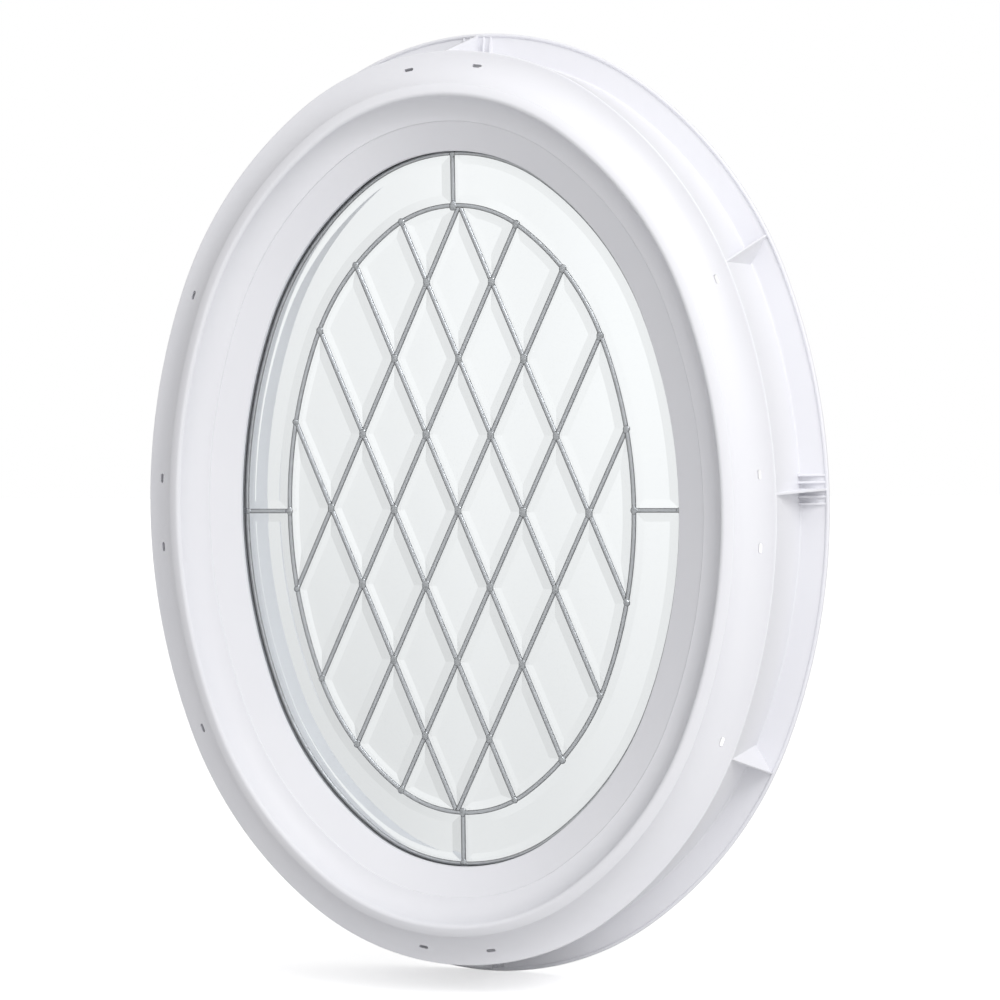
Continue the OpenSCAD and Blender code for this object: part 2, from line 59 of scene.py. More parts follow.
# Sizes in millimetres, the same as the solids' own.
# A point of a section is (distance out from the sight edge, distance in front of the wall).
SIGHT_W, SIGHT_H, SIGHT_DEPTH = 480, 750, 116
OVAL_W, OVAL_H = 379, 639
SLOPE_W, SLOPE_RISE = 28.5, 16.4
QUIRK_LEAN, QUIRK_RISE = 0.8, 1.6
INNER_COVE_R, INNER_COVE_LIFT = 28, 12
CROWN_R, CROWN_OUT, CROWN_RISE, CREST_R = 24, 50.3, 46.5, 4
OUTER_COVE_R = 36
CASING_W, EDGE_RISE, EDGE_R = 102, 10.5, 1.5
NOSE_R = 1
WALL, WALL_DRAFT = 4, 2.5
FIN_W, FIN_THICK, BEAD_R, FIN_FILLET = 31, 3.5, 2, 3
GUSSET_THICK, GUSSET_PITCH, LOW_GUSSET_RISE, GUSSET_EDGE_R = 2.2, 7.5, 7, 0.35
SIDE_GROUP_UP, CORNER_GUSSET_AT, CORNER_GUSSET_LEAN = 17, 22.6, 37
SLOT_L, SLOT_W, SLOT_OUT, SLOT_PAIR, SLOT_FAR = 10, 3.4, 86.5, 37, 233
REBATE_W, LIP_THICK, SLEEVE_THICK, SLEEVE_DRAFT = 13, 5, 4.5, 1.5
RIB_THICK, RIB_BACK = 3, 6
STOP_BACK, GROOVE_DEEP, GROOVE_BACK, GROOVE_FRONT = 77.1, 1.2, 80.767, 84.433
PANEL_DEPTH = 98.8
CAME_W, CAME_THICK, CHANNEL = 4.8, 5, 2.6
BORDER_IN = 3.2
DIAMOND_W, LATTICE_TURN = 71, -1.2
SOLDER_R, SOLDER_RISE, SOLDER_RIM = 4.3, 0.7, 0.3

# Whole steps of the lattice from the middle to its top point
REACH = 4

# Fineness of the curves: degrees a step in a section and round an oval, and the width in which points are merged
BEND_STEP = 5
TURN_STEP = 1.5
MERGE = 0.01


# Ovals

# The arcs' half angles come from two triangles with whole sides: rise, run and slant
END_RISE, END_RUN, END_SLANT = 3, 4, 5
SIDE_RISE, SIDE_RUN, SIDE_SLANT = 44, 117, 125
END_HALF = math.degrees(math.atan(END_RISE / END_RUN))
SIDE_HALF = math.degrees(math.atan(SIDE_RISE / SIDE_RUN))

# Radius of the shoulders, as a share of the mean of the half axes
SHOULDER_SHARE = 1.04

# The eight arcs of an oval, in the order in which they follow each other
TOP, UPPER_LEFT, LEFT, LOWER_LEFT, BOTTOM, LOWER_RIGHT, RIGHT, UPPER_RIGHT = range(8)

# Ribs behind the casing on each arc
RIB_COUNT = (3, 2, 5, 2, 3, 2, 5, 2)


def to_eighth(size):
    return round(8 * size) / 8


def oval(width, height):
    """Eight arcs near an ellipse that run into each other, each (centre x, centre z, radius, first angle, turn)."""
    a, b = width / 2, height / 2
    end_sin, end_cos = END_RISE / END_SLANT, END_RUN / END_SLANT
    side_sin, side_cos = SIDE_RISE / SIDE_SLANT, SIDE_RUN / SIDE_SLANT
    mid = to_eighth(SHOULDER_SHARE * math.sqrt(a * b))
    u, v = a - mid * (side_cos - end_sin), b - mid * (end_cos - side_sin)
    k = end_sin * side_sin - (1 - side_cos) * (1 - end_cos)
    end = to_eighth((u * side_sin - v * (1 - side_cos)) / k)
    side = to_eighth((v * end_sin - u * (1 - end_cos)) / k)
    side_x = end * end_sin + mid * (side_cos - end_sin) - side * side_cos
    mid_x, mid_z = side_x + (side - mid) * side_cos, (side - mid) * side_sin
    end_z = mid_z + (mid - end) * end_cos
    shoulder = 90 - END_HALF - SIDE_HALF
    return [
        (0, end_z, end, 90 - END_HALF, 2 * END_HALF),
        (-mid_x, mid_z, mid, 90 + END_HALF, shoulder),
        (-side_x, 0, side, 180 - SIDE_HALF, 2 * SIDE_HALF),
        (-mid_x, -mid_z, mid, 180 + SIDE_HALF, shoulder),
        (0, -end_z, end, 270 - END_HALF, 2 * END_HALF),
        (mid_x, -mid_z, mid, 270 + END_HALF, shoulder),
        (side_x, 0, side, -SIDE_HALF, 2 * SIDE_HALF),
        (mid_x, mid_z, mid, SIDE_HALF, shoulder),
    ]


SIGHT = oval(SIGHT_W, SIGHT_H)
PANEL = oval(OVAL_W, OVAL_H)


# Sections


def toward(turn, r):
    """A step of a given length in a direction, in degrees."""
    return Vector((math.cos(math.radians(turn)), math.sin(math.radians(turn)))) * r


def heading(a, b):
    """The direction from one point to another, from -90 to 270 degrees, so that no bend takes a whole turn more."""
    turn = math.degrees(math.atan2(b[1] - a[1], b[0] - a[0]))
    return turn + 360 if turn < -90 else turn


def meet(c1, r1, c2, r2):
    """Where two circles cross, on the left of the way from the first centre to the second."""
    gap = (c2 - c1).length
    way = (c2 - c1) / gap
    along = (r1 * r1 - r2 * r2 + gap * gap) / (2 * gap)
    return c1 + along * way + math.sqrt(r1 * r1 - along * along) * Vector((-way.y, way.x))


def bend(centre, first, last):
    """A bend about a centre, from one direction to another, in the form that draw takes."""
    return (centre[0], centre[1], last - first)


def draw(bm, moves):
    """Draws a closed outline: a pair is the end of a straight line, and a triple a bend about a centre by a turn."""
    tip = start = bm.verts.new((moves[0][0] * MM, -moves[0][1] * MM, 0))
    for move in moves[1:]:
        if len(move) == 2:
            tip = bmesh.ops.extrude_vert_indiv(bm, verts=[tip])["verts"][0]
            tip.co = (move[0] * MM, -move[1] * MM, 0)
        else:
            x, y, turn = move
            spun = bmesh.ops.spin(bm, geom=[tip], cent=(x * MM, -y * MM, 0), axis=(0, 0, -1),
                                  angle=math.radians(turn), steps=max(1, math.ceil(abs(turn) / BEND_STEP)))
            tip = [v for v in spun["geom_last"] if isinstance(v, bmesh.types.BMVert)][0]
    bm.edges.new((tip, start))


def spot_on(x, z, r, turn):
    """The place of a section whose sight edge lies on an arc, at an angle round the arc's centre."""
    return (Matrix.Translation((x * MM, 0, z * MM)) @ Matrix.Rotation(math.radians(turn), 4, FRONT)
            @ Matrix.Translation((r * MM, 0, 0)))


def carry_round(bm, arcs):
    """Carries the outline drawn at the origin round an oval, arc by arc, and closes the ring."""
    x, z, r, first, _ = arcs[TOP]
    bmesh.ops.transform(bm, matrix=spot_on(x, z, r, first), verts=bm.verts)
    ring = bm.verts[:] + bm.edges[:]
    for x, z, r, first, turn in arcs:
        ring = bmesh.ops.spin(bm, geom=ring, cent=(x * MM, 0, z * MM), axis=FRONT, angle=math.radians(turn),
                              steps=math.ceil(turn / TURN_STEP))["geom_last"]
    bmesh.ops.remove_doubles(bm, verts=bm.verts, dist=MERGE * MM)
    bmesh.ops.recalc_face_normals(bm, faces=bm.faces)


def blade(moves, thickness, place, edge_r=0):
    """An upright plate with the given outline, its edges softened where a radius is given."""
    bm = bmesh.new()
    draw(bm, moves)
    face = bmesh.ops.contextual_create(bm, geom=bm.edges[:])["faces"]
    bmesh.ops.translate(bm, vec=(0, 0, -thickness / 2 * MM), verts=bm.verts)
    raised = bmesh.ops.extrude_face_region(bm, geom=face)["geom"]
    top = [v for v in raised if isinstance(v, bmesh.types.BMVert)]
    bmesh.ops.translate(bm, vec=(0, 0, thickness * MM), verts=top)
    bmesh.ops.recalc_face_normals(bm, faces=bm.faces)
    if edge_r:
        bmesh.ops.bevel(bm, geom=bm.edges[:], affect="EDGES", offset=edge_r * MM, segments=2, profile=0.5,
                        material=-1)
    bmesh.ops.transform(bm, matrix=place, verts=bm.verts)
    return bm


def take_in(bm, other):
    """Puts one bmesh's shape into another."""
    mesh = bpy.data.meshes.new("part")
    other.to_mesh(mesh)
    other.free()
    bm.from_mesh(mesh)
    bpy.data.meshes.remove(mesh)


def piece(name, bm, material, replaced, sharp):
    """A finished piece in place of a node, smooth but for edges sharper than a given angle, in degrees."""
    mesh = bpy.data.meshes.new(name)
    bm.to_mesh(mesh)
    bm.free()
    mesh.shade_smooth()
    mesh.set_sharp_from_angle(angle=math.radians(sharp))
    mesh.materials.append(material)
    made = bpy.data.objects.new(name, mesh)
    bpy.context.scene.collection.objects.link(made)
    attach(made, "root")
    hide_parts(replaced)


# Materials

# Numbers of a Mix node's sockets, whose names its kinds share: the share, two colours, their mix, and two plain values
SHARE, FIRST, SECOND, MIXED = 0, 6, 7, 2
FIRST_VALUE, SECOND_VALUE = 2, 3


def colour(code):
    """An sRGB hex value as a linear colour."""
    parts = [int(code[i:i + 2], 16) / 255 for i in (1, 3, 5)]
    return (*[p / 12.92 if p <= 0.04045 else ((p + 0.055) / 1.055) ** 2.4 for p in parts], 1)


def add(tree, kind, inputs, **settings):
    """Adds a node, with its settings and with a value or a link for each input given by name or number."""
    made = tree.nodes.new(kind)
    for name, value in settings.items():
        setattr(made, name, value)
    for name, value in inputs.items():
        if isinstance(value, bpy.types.NodeSocket):
            tree.links.new(value, made.inputs[name])
        else:
            made.inputs[name].default_value = value
    return made


def start_material(name):
    """A new material and its node tree, emptied."""
    material = bpy.data.materials.new(name)
    material.use_nodes = True
    material.node_tree.nodes.clear()
    return material, material.node_tree


def per_mm(size):
    """The scale of a noise whose grain is about a size in millimetres."""
    return 1 / (size * MM)


def moulded_vinyl():
    """Rigid white PVC from a satin mould: a cool white with a low, soft gloss and a faint unevenness of the skin."""
    material, tree = start_material("moulded_white_vinyl")
    place = add(tree, "ShaderNodeTexCoord", {}).outputs["Object"]
    cloud = add(tree, "ShaderNodeTexNoise", {"Vector": place, "Scale": per_mm(90), "Detail": 3})
    tone = add(tree, "ShaderNodeMix", {SHARE: cloud.outputs["Fac"], FIRST: colour("#F1F1F5"),
                                       SECOND: colour("#EDEDF2")}, data_type="RGBA")
    skin = add(tree, "ShaderNodeTexNoise", {"Vector": place, "Scale": per_mm(2.5), "Detail": 4})
    sheen = add(tree, "ShaderNodeMapRange", {"Value": skin.outputs["Fac"], "To Min": 0.34, "To Max": 0.44})
    sink = add(tree, "ShaderNodeTexNoise", {"Vector": place, "Scale": per_mm(45), "Detail": 2})
    broad = add(tree, "ShaderNodeBump", {"Height": sink.outputs["Fac"], "Strength": 0.25, "Distance": 0.4 * MM})
    fine = add(tree, "ShaderNodeBump", {"Height": skin.outputs["Fac"], "Strength": 0.2, "Distance": 0.02 * MM,
                                        "Normal": broad.outputs["Normal"]})
    vinyl = add(tree, "ShaderNodeBsdfPrincipled", {
        "Base Color": tone.outputs[MIXED], "Roughness": sheen.outputs["Result"], "IOR": 1.53,
        "Specular IOR Level": 0.22, "Normal": fine.outputs["Normal"]})
    add(tree, "ShaderNodeOutputMaterial", {"Surface": vinyl.outputs["BSDF"]})
    return material


def rolled_zinc():
    """Zinc came, rolled and wire-brushed: bright along the crown and dark grey along the flanks, a painted shade with
    some patina in it.
    """
    material, tree = start_material("rolled_zinc_came")
    came = add(tree, "ShaderNodeTexCoord", {})
    place = came.outputs["Object"]
    # Painted shade: the colour darkens from the crown to the flanks as the face turns away from the front, standing in
    # for the came's own shading, with some patina along the flanks
    front_facing_for_painted_shade = add(tree, "ShaderNodeVectorMath", {0: came.outputs["Normal"], 1: FRONT}, operation="DOT_PRODUCT")
    level = add(tree, "ShaderNodeMath", {0: front_facing_for_painted_shade.outputs["Value"]}, operation="ABSOLUTE")
    blotch = add(tree, "ShaderNodeTexNoise", {"Vector": place, "Scale": per_mm(6), "Detail": 4})
    uneven = add(tree, "ShaderNodeMath", {0: blotch.outputs["Fac"], 1: 0.2, 2: -0.1}, operation="MULTIPLY_ADD")
    height = add(tree, "ShaderNodeMath", {0: level.outputs[0], 1: uneven.outputs[0]}, operation="ADD")
    crown = add(tree, "ShaderNodeMapRange", {"Value": height.outputs[0], "From Min": 0.62, "From Max": 0.98})
    # Dark grey on the flanks and bright on the crown: painted shade, partly patina
    tone = add(tree, "ShaderNodeMix", {SHARE: crown.outputs["Result"], FIRST: colour("#5E6064"),
                                       SECOND: colour("#BFC1C5")}, data_type="RGBA")
    brushed = add(tree, "ShaderNodeTexNoise", {"Vector": place, "Scale": per_mm(0.8), "Detail": 3})
    rough = add(tree, "ShaderNodeMapRange", {"Value": brushed.outputs["Fac"], "To Min": 0.3, "To Max": 0.46})
    scratch = add(tree, "ShaderNodeBump", {"Height": brushed.outputs["Fac"], "Strength": 0.3,
                                           "Distance": 0.03 * MM})
    metal = add(tree, "ShaderNodeBsdfPrincipled", {
        "Base Color": tone.outputs[MIXED], "Metallic": 1.0, "Roughness": rough.outputs["Result"],
        "Normal": scratch.outputs["Normal"]})
    add(tree, "ShaderNodeOutputMaterial", {"Surface": metal.outputs["BSDF"]})
    return material


def tin_solder():
    """Tin solder run on by hand: brighter than the came, smooth and slightly rippled where it set."""
    material, tree = start_material("hand_run_solder")
    place = add(tree, "ShaderNodeTexCoord", {}).outputs["Object"]
    cloud = add(tree, "ShaderNodeTexNoise", {"Vector": place, "Scale": per_mm(2.4), "Detail": 3})
    tone = add(tree, "ShaderNodeMix", {SHARE: cloud.outputs["Fac"], FIRST: colour("#85888C"),
                                       SECOND: colour("#C2C4C7")}, data_type="RGBA")
    rough = add(tree, "ShaderNodeMapRange", {"Value": cloud.outputs["Fac"], "To Min": 0.14, "To Max": 0.3})
    ripple = add(tree, "ShaderNodeBump", {"Height": cloud.outputs["Fac"], "Strength": 0.8, "Distance": 0.35 * MM})
    metal = add(tree, "ShaderNodeBsdfPrincipled", {
        "Base Color": tone.outputs[MIXED], "Metallic": 1.0, "Roughness": rough.outputs["Result"],
        "Normal": ripple.outputs["Normal"]})
    add(tree, "ShaderNodeOutputMaterial", {"Surface": metal.outputs["BSDF"]})
    return material


def glass(name, tint, wave, height):
    """Clear soda-lime glass, polished, its face waving very slightly at a width and height in millimetres.

    Soft light and shadow go straight through it, so that what lies behind it stays clean and bright.
    """
    material, tree = start_material(name)
    place = add(tree, "ShaderNodeTexCoord", {}).outputs["Object"]
    swell = add(tree, "ShaderNodeTexNoise", {"Vector": place, "Scale": per_mm(wave), "Detail": 1})
    face = add(tree, "ShaderNodeBump", {"Height": swell.outputs["Fac"], "Strength": 0.3, "Distance": height * MM})
    body = add(tree, "ShaderNodeBsdfPrincipled", {
        "Base Color": colour(tint), "Roughness": 0.0, "IOR": 1.52, "Transmission Weight": 1.0,
        "Normal": face.outputs["Normal"]})
    path = add(tree, "ShaderNodeLightPath", {})
    passing = add(tree, "ShaderNodeMath", {0: path.outputs["Is Shadow Ray"], 1: path.outputs["Is Diffuse Ray"]},
                  operation="MAXIMUM")
    clear = add(tree, "ShaderNodeBsdfTransparent", {"Color": colour(tint)})
    both = add(tree, "ShaderNodeMixShader", {0: passing.outputs[0], 1: body.outputs["BSDF"],
                                             2: clear.outputs["BSDF"]})
    add(tree, "ShaderNodeOutputMaterial", {"Surface": both.outputs["Shader"]})
    return material


def butyl():
    """Grey butyl of the spacers and the bedding tape: dull, with a soft drawn skin."""
    material, tree = start_material("grey_butyl")
    place = add(tree, "ShaderNodeTexCoord", {}).outputs["Object"]
    skin = add(tree, "ShaderNodeTexNoise", {"Vector": place, "Scale": per_mm(4), "Detail": 4})
    tone = add(tree, "ShaderNodeMix", {SHARE: skin.outputs["Fac"], FIRST: colour("#808186"),
                                       SECOND: colour("#939499")}, data_type="RGBA")
    drag = add(tree, "ShaderNodeBump", {"Height": skin.outputs["Fac"], "Strength": 0.4, "Distance": 0.2 * MM})
    rubber = add(tree, "ShaderNodeBsdfPrincipled", {
        "Base Color": tone.outputs[MIXED], "Roughness": 0.6, "Normal": drag.outputs["Normal"]})
    add(tree, "ShaderNodeOutputMaterial", {"Surface": rubber.outputs["BSDF"]})
    return material


VINYL = moulded_vinyl()
ZINC = rolled_zinc()
SOLDER = tin_solder()
BEVELLED = glass("polished_bevelled_glass", "#FDFEFF", 30, 0.03)
FLOAT = glass("clear_float_glass", "#FEFFFF", 160, 0.05)
BUTYL = butyl()


# The moulded frame: the points and centres of its section

slope_turn = math.degrees(math.atan(SLOPE_RISE / SLOPE_W))
crease = Vector((SLOPE_W, SIGHT_DEPTH + SLOPE_RISE))
quirk = crease + Vector((QUIRK_LEAN, QUIRK_RISE))
edge_depth = SIGHT_DEPTH + EDGE_RISE
inner_cove = quirk + toward(90 + INNER_COVE_LIFT, INNER_COVE_R)
outer_cove = Vector((CASING_W - EDGE_R, edge_depth + OUTER_COVE_R))
crown = Vector((CROWN_OUT, SIGHT_DEPTH + CROWN_RISE - CROWN_R))
crest = meet(inner_cove, INNER_COVE_R + CREST_R, crown, CROWN_R - CREST_R)
crest_foot = crest + CREST_R / (INNER_COVE_R + CREST_R) * (inner_cove - crest)
crown_end = meet(crown, CROWN_R, outer_cove, OUTER_COVE_R)
nose_drop = NOSE_R / math.cos(math.radians(slope_turn)) - NOSE_R * math.tan(math.radians(slope_turn))
nose = Vector((NOSE_R, SIGHT_DEPTH - nose_drop))
wall_foot = CASING_W + WALL_DRAFT
fin_out = wall_foot + FIN_W
sleeve_out = REBATE_W + SLEEVE_THICK
lip_back = SIGHT_DEPTH - LIP_THICK


def behind(depth):
    """The line that runs a given depth behind the casing's front, from the outer wall in to the sleeve."""
    inside = sleeve_out - WALL + depth
    under_crease = crease + toward(slope_turn - 90, depth)
    dip = meet(inner_cove, INNER_COVE_R + depth, crown, CROWN_R - depth)
    rise = meet(crown, CROWN_R - depth, outer_cove, OUTER_COVE_R + depth)
    last = 270 - math.degrees(math.asin((depth - EDGE_R) / (OUTER_COVE_R + depth)))
    return [
        tuple(outer_cove + toward(last, OUTER_COVE_R + depth)),
        bend(outer_cove, last, heading(outer_cove, rise)),
        bend(crown, heading(crown, rise), heading(crown, dip)),
        bend(inner_cove, heading(inner_cove, dip), heading(inner_cove, quirk)),
        tuple(under_crease),
        (inside, under_crease.y - (under_crease.x - inside) * math.tan(math.radians(slope_turn))),
    ]


FRAME_SECTION = [
    (0, lip_back), (0, nose.y), bend(nose, 180, 90 + slope_turn), tuple(crease), tuple(quirk),
    bend(inner_cove, heading(inner_cove, quirk), heading(inner_cove, crest_foot)),
    bend(crest, heading(crest, crest_foot), heading(crown, crest)),
    bend(crown, heading(crown, crest), heading(crown, crown_end)),
    bend(outer_cove, heading(outer_cove, crown_end), 270),
    bend((CASING_W - EDGE_R, edge_depth - EDGE_R), 90, 0),
    (wall_foot, FIN_THICK + FIN_FILLET), bend((wall_foot + FIN_FILLET, FIN_THICK + FIN_FILLET), 180, 270),
    (fin_out - 2 * BEAD_R, FIN_THICK), bend((fin_out - BEAD_R, FIN_THICK), 180, 0),
    (fin_out, 0), (wall_foot - WALL, 0), *behind(WALL),
    (sleeve_out, 0), (REBATE_W + SLEEVE_DRAFT, 0), (REBATE_W, STOP_BACK), (REBATE_W, GROOVE_BACK),
    (REBATE_W + GROOVE_DEEP, GROOVE_BACK), (REBATE_W + GROOVE_DEEP, GROOVE_FRONT), (REBATE_W, GROOVE_FRONT),
    (REBATE_W, lip_back),
]

# Distances of the weep slots aside of the middle of the arcs that have them
SLOT_ROWS = {
    TOP: (-SLOT_PAIR, SLOT_PAIR),
    BOTTOM: (-SLOT_PAIR, SLOT_PAIR),
    LEFT: (-SLOT_FAR, -SLOT_PAIR, SLOT_PAIR, SLOT_FAR),
    RIGHT: (-SLOT_FAR, -SLOT_PAIR, SLOT_PAIR, SLOT_FAR),
}

# Just under half a slot's width, so that the rounds of its two corners stay apart
SLOT_END_R = SLOT_W / 2.05


def slot_cutter():
    """Round-ended blocks that cut the weep slots through the outer hollow."""
    bm = bmesh.new()
    for n, row in SLOT_ROWS.items():
        x, z, r, first, turn = SIGHT[n]
        for aside in row:
            one = bmesh.new()
            bmesh.ops.create_cube(one, size=1)
            bmesh.ops.scale(one, vec=(SLOT_W * MM, CROWN_RISE * MM, SLOT_L * MM), verts=one.verts)
            upright = [e for e in one.edges if abs(e.verts[0].co.y - e.verts[1].co.y) > MM]
            bmesh.ops.bevel(one, geom=upright, affect="EDGES", offset=SLOT_END_R * MM, segments=6, profile=0.5,
                            material=-1)
            depth = SIGHT_DEPTH - WALL + CROWN_RISE / 2
            bmesh.ops.translate(one, vec=(SLOT_OUT * MM, -depth * MM, 0), verts=one.verts)
            at = first + turn / 2 + math.degrees(math.asin(aside / (r + SLOT_OUT)))
            bmesh.ops.transform(one, matrix=spot_on(x, z, r, at), verts=one.verts)
            bmesh.ops.recalc_face_normals(one, faces=one.faces)
            take_in(bm, one)
    return bm


def cut(bm, cutter):
    """Takes one closed shape out of another."""
    whole, tool = (bpy.data.objects.new(n, bpy.data.meshes.new(n)) for n in ("whole", "tool"))
    for o, shape in ((whole, bm), (tool, cutter)):
        shape.to_mesh(o.data)
        shape.free()
        bpy.context.scene.collection.objects.link(o)
    step = whole.modifiers.new("slots", "BOOLEAN")
    step.operation, step.solver, step.object = "DIFFERENCE", "EXACT", tool
    left = bpy.data.meshes.new_from_object(whole.evaluated_get(bpy.context.evaluated_depsgraph_get()))
    slotted = bmesh.new()
    slotted.from_mesh(left)
    for mesh in (whole.data, tool.data, left):
        bpy.data.meshes.remove(mesh)
    return slotted


def gusset(top_line, place, end=FIN_W + WALL_DRAFT - BEAD_R):
    """A thin web that stands on the fin, falls from a given top line to the rim bead, and is sunk into both."""
    outline = [(-WALL / 2, FIN_THICK / 2), *top_line, (end, FIN_THICK + BEAD_R / 2), (end, FIN_THICK / 2)]
    return blade(outline, GUSSET_THICK, place, GUSSET_EDGE_R)


def gusset_group(bm, half, turn, up, high, low):
    """A high gusset between four low ones, where the outer wall crosses an axis of the window."""
    at = spot_on(0, 0, half + CASING_W, turn)
    take_in(bm, gusset(high, at @ Matrix.Translation((0, 0, up * MM))))
    for k in (-2, -1, 1, 2):
        take_in(bm, gusset(low, at @ Matrix.Translation((0, 0, (up + k * GUSSET_PITCH) * MM))))


def moulded_frame():
    """The casing, the outer wall, the nail fin and the glazing sleeve in one, with slots, ribs and gussets."""
    bm = bmesh.new()
    draw(bm, FRAME_SECTION)
    carry_round(bm, SIGHT)
    bm = cut(bm, slot_cutter())
    rib = [(wall_foot - WALL / 2, RIB_BACK), *behind(WALL / 2), (sleeve_out - WALL / 2, RIB_BACK)]
    for (x, z, r, first, turn), count in zip(SIGHT, RIB_COUNT):
        for k in range(count):
            take_in(bm, blade(rib, RIB_THICK, spot_on(x, z, r, first + (k + 0.5) * turn / count)))
    high_top, low_top = edge_depth - 2 * EDGE_R, FIN_THICK + LOW_GUSSET_RISE
    high = [(-WALL / 2, high_top), (0, high_top)]
    low = [(-WALL / 2, low_top), (WALL_DRAFT + FIN_FILLET, low_top)]
    side_half, end_half = SIGHT[RIGHT][0] + SIGHT[RIGHT][2], SIGHT[TOP][1] + SIGHT[TOP][2]
    gusset_group(bm, side_half, 0, SIDE_GROUP_UP, high, low)
    gusset_group(bm, end_half, 90, 0, high, low)
    gusset_group(bm, side_half, 180, -SIDE_GROUP_UP, high, low)
    gusset_group(bm, end_half, 270, 0, high, low)
    lean = math.radians(CORNER_GUSSET_LEAN)
    for n, side, turn in ((UPPER_RIGHT, 1, 0), (UPPER_LEFT, -1, 180), (LOWER_LEFT, 1, 180), (LOWER_RIGHT, -1, 0)):
        x, z, r = SIGHT[n][:3]
        foot = spot_on(x, z, r + CASING_W, turn + side * CORNER_GUSSET_AT)
        take_in(bm, gusset(high, foot @ Matrix.Rotation(side * lean, 4, FRONT), FIN_W / math.cos(lean) - BEAD_R))
    piece("moulded_frame", bm, VINYL, "frame", sharp=12)


# Cames and solder

# The middle of the border came, outside the sight edge
BORDER_MIDDLE = CAME_W / 2 - BORDER_IN

# Rise of the lattice's lines from the level, in degrees, before the whole lattice is turned
LATTICE_SLOPE = math.degrees(math.atan2(OVAL_H / 2 / REACH, DIAMOND_W / 2))

# How the drops differ: shares of the solids' radius and rise that each draws its own from
DROP_WIDTHS, DROP_RISES = (0.95, 1.1), (1.3, 1.9)

# Shape of a drop: rings and sides, how full its shoulder is, its waist between the cames and its run along them
DROP_RINGS, DROP_SIDES, DROP_FULLNESS = 7, 32, 0.8
DROP_WAIST, DROP_RUN, RUN_NARROWNESS = 0.84, 0.4, 6


def came_outline(middle):
    """A came's section round a middle: two rounded faces, with the hidden channels for the glass closed as flats."""
    rise = (CAME_THICK - CHANNEL) / 2
    r = (CAME_W ** 2 / 4 + rise ** 2) / (2 * rise)
    half = math.degrees(math.asin(CAME_W / 2 / r))
    lift = CHANNEL / 2 + rise - r
    return [(middle - CAME_W / 2, PANEL_DEPTH + CHANNEL / 2), (middle, PANEL_DEPTH + lift, -2 * half),
            (middle + CAME_W / 2, PANEL_DEPTH - CHANNEL / 2), (middle, PANEL_DEPTH - lift, -2 * half)]


def carried_came(name, middle, arcs, replaced):
    """A came bent round a whole oval."""
    bm = bmesh.new()
    draw(bm, came_outline(middle))
    carry_round(bm, arcs)
    piece(name, bm, ZINC, replaced, sharp=30)


def spot(i, j):
    """A crossing of the lattice, at whole steps from the middle."""
    turn = math.radians(LATTICE_TURN)
    x, z = i * DIAMOND_W / 2, j * OVAL_H / 2 / REACH
    return Vector((x * math.cos(turn) - z * math.sin(turn), x * math.sin(turn) + z * math.cos(turn)))


def to_oval(start, turn):
    """Where a line of the lattice meets the inner oval."""
    a, b = OVAL_W / 2, OVAL_H / 2
    way = toward(turn, 1)
    u, p = Vector((way.x / a, way.y / b)), Vector((start.x / a, start.y / b))
    root = math.sqrt(u.dot(p) ** 2 - u.length_squared * (p.length_squared - 1))
    return start + way * (root - u.dot(p)) / u.length_squared


def joints():
    """Each soldered joint with the directions in which cames leave it."""
    up, down = LATTICE_SLOPE + LATTICE_TURN, -LATTICE_SLOPE + LATTICE_TURN
    found = []
    # Crossings of the lattice
    for i in range(-REACH, REACH + 1):
        for j in range(-REACH, REACH + 1):
            if (i + j) % 2 == 0 and abs(i) + abs(j) <= REACH and not (i == 0 and abs(j) == REACH):
                found.append((spot(i, j), (up, up + 180, down, down + 180)))
    # Both ends of each line that crosses the upright axis inside the oval
    for k in range(2 - REACH, REACH, 2):
        for line in (up, down):
            for way in (0, 180):
                found.append((to_oval(spot(0, k), line + way), (line + way + 180,)))
    # The far ends of the lines that start at the top and bottom points
    for k in (-REACH, REACH):
        for sign, line in ((1, up), (-1, down)):
            way = line + (180 if sign * k > 0 else 0)
            found.append((to_oval(spot(0, k), way), (way + 180,)))
    # The bars: where each leaves the inner oval and where it meets the border came
    for side in (-1, 1):
        turn = 90 if side > 0 else 270
        points = (up + 180, down) if side > 0 else (up, down + 180)
        found.append((Vector((0, side * OVAL_H / 2)), (turn, *points)))
        found.append((Vector((0, side * (SIGHT_H / 2 + BORDER_MIDDLE))), (turn + 180,)))
        turn = 0 if side > 0 else 180
        found.append((Vector((side * OVAL_W / 2, 0)), (turn, 90, 270)))
        found.append((Vector((side * (SIGHT_W / 2 + BORDER_MIDDLE), 0)), (turn + 180,)))
    return found


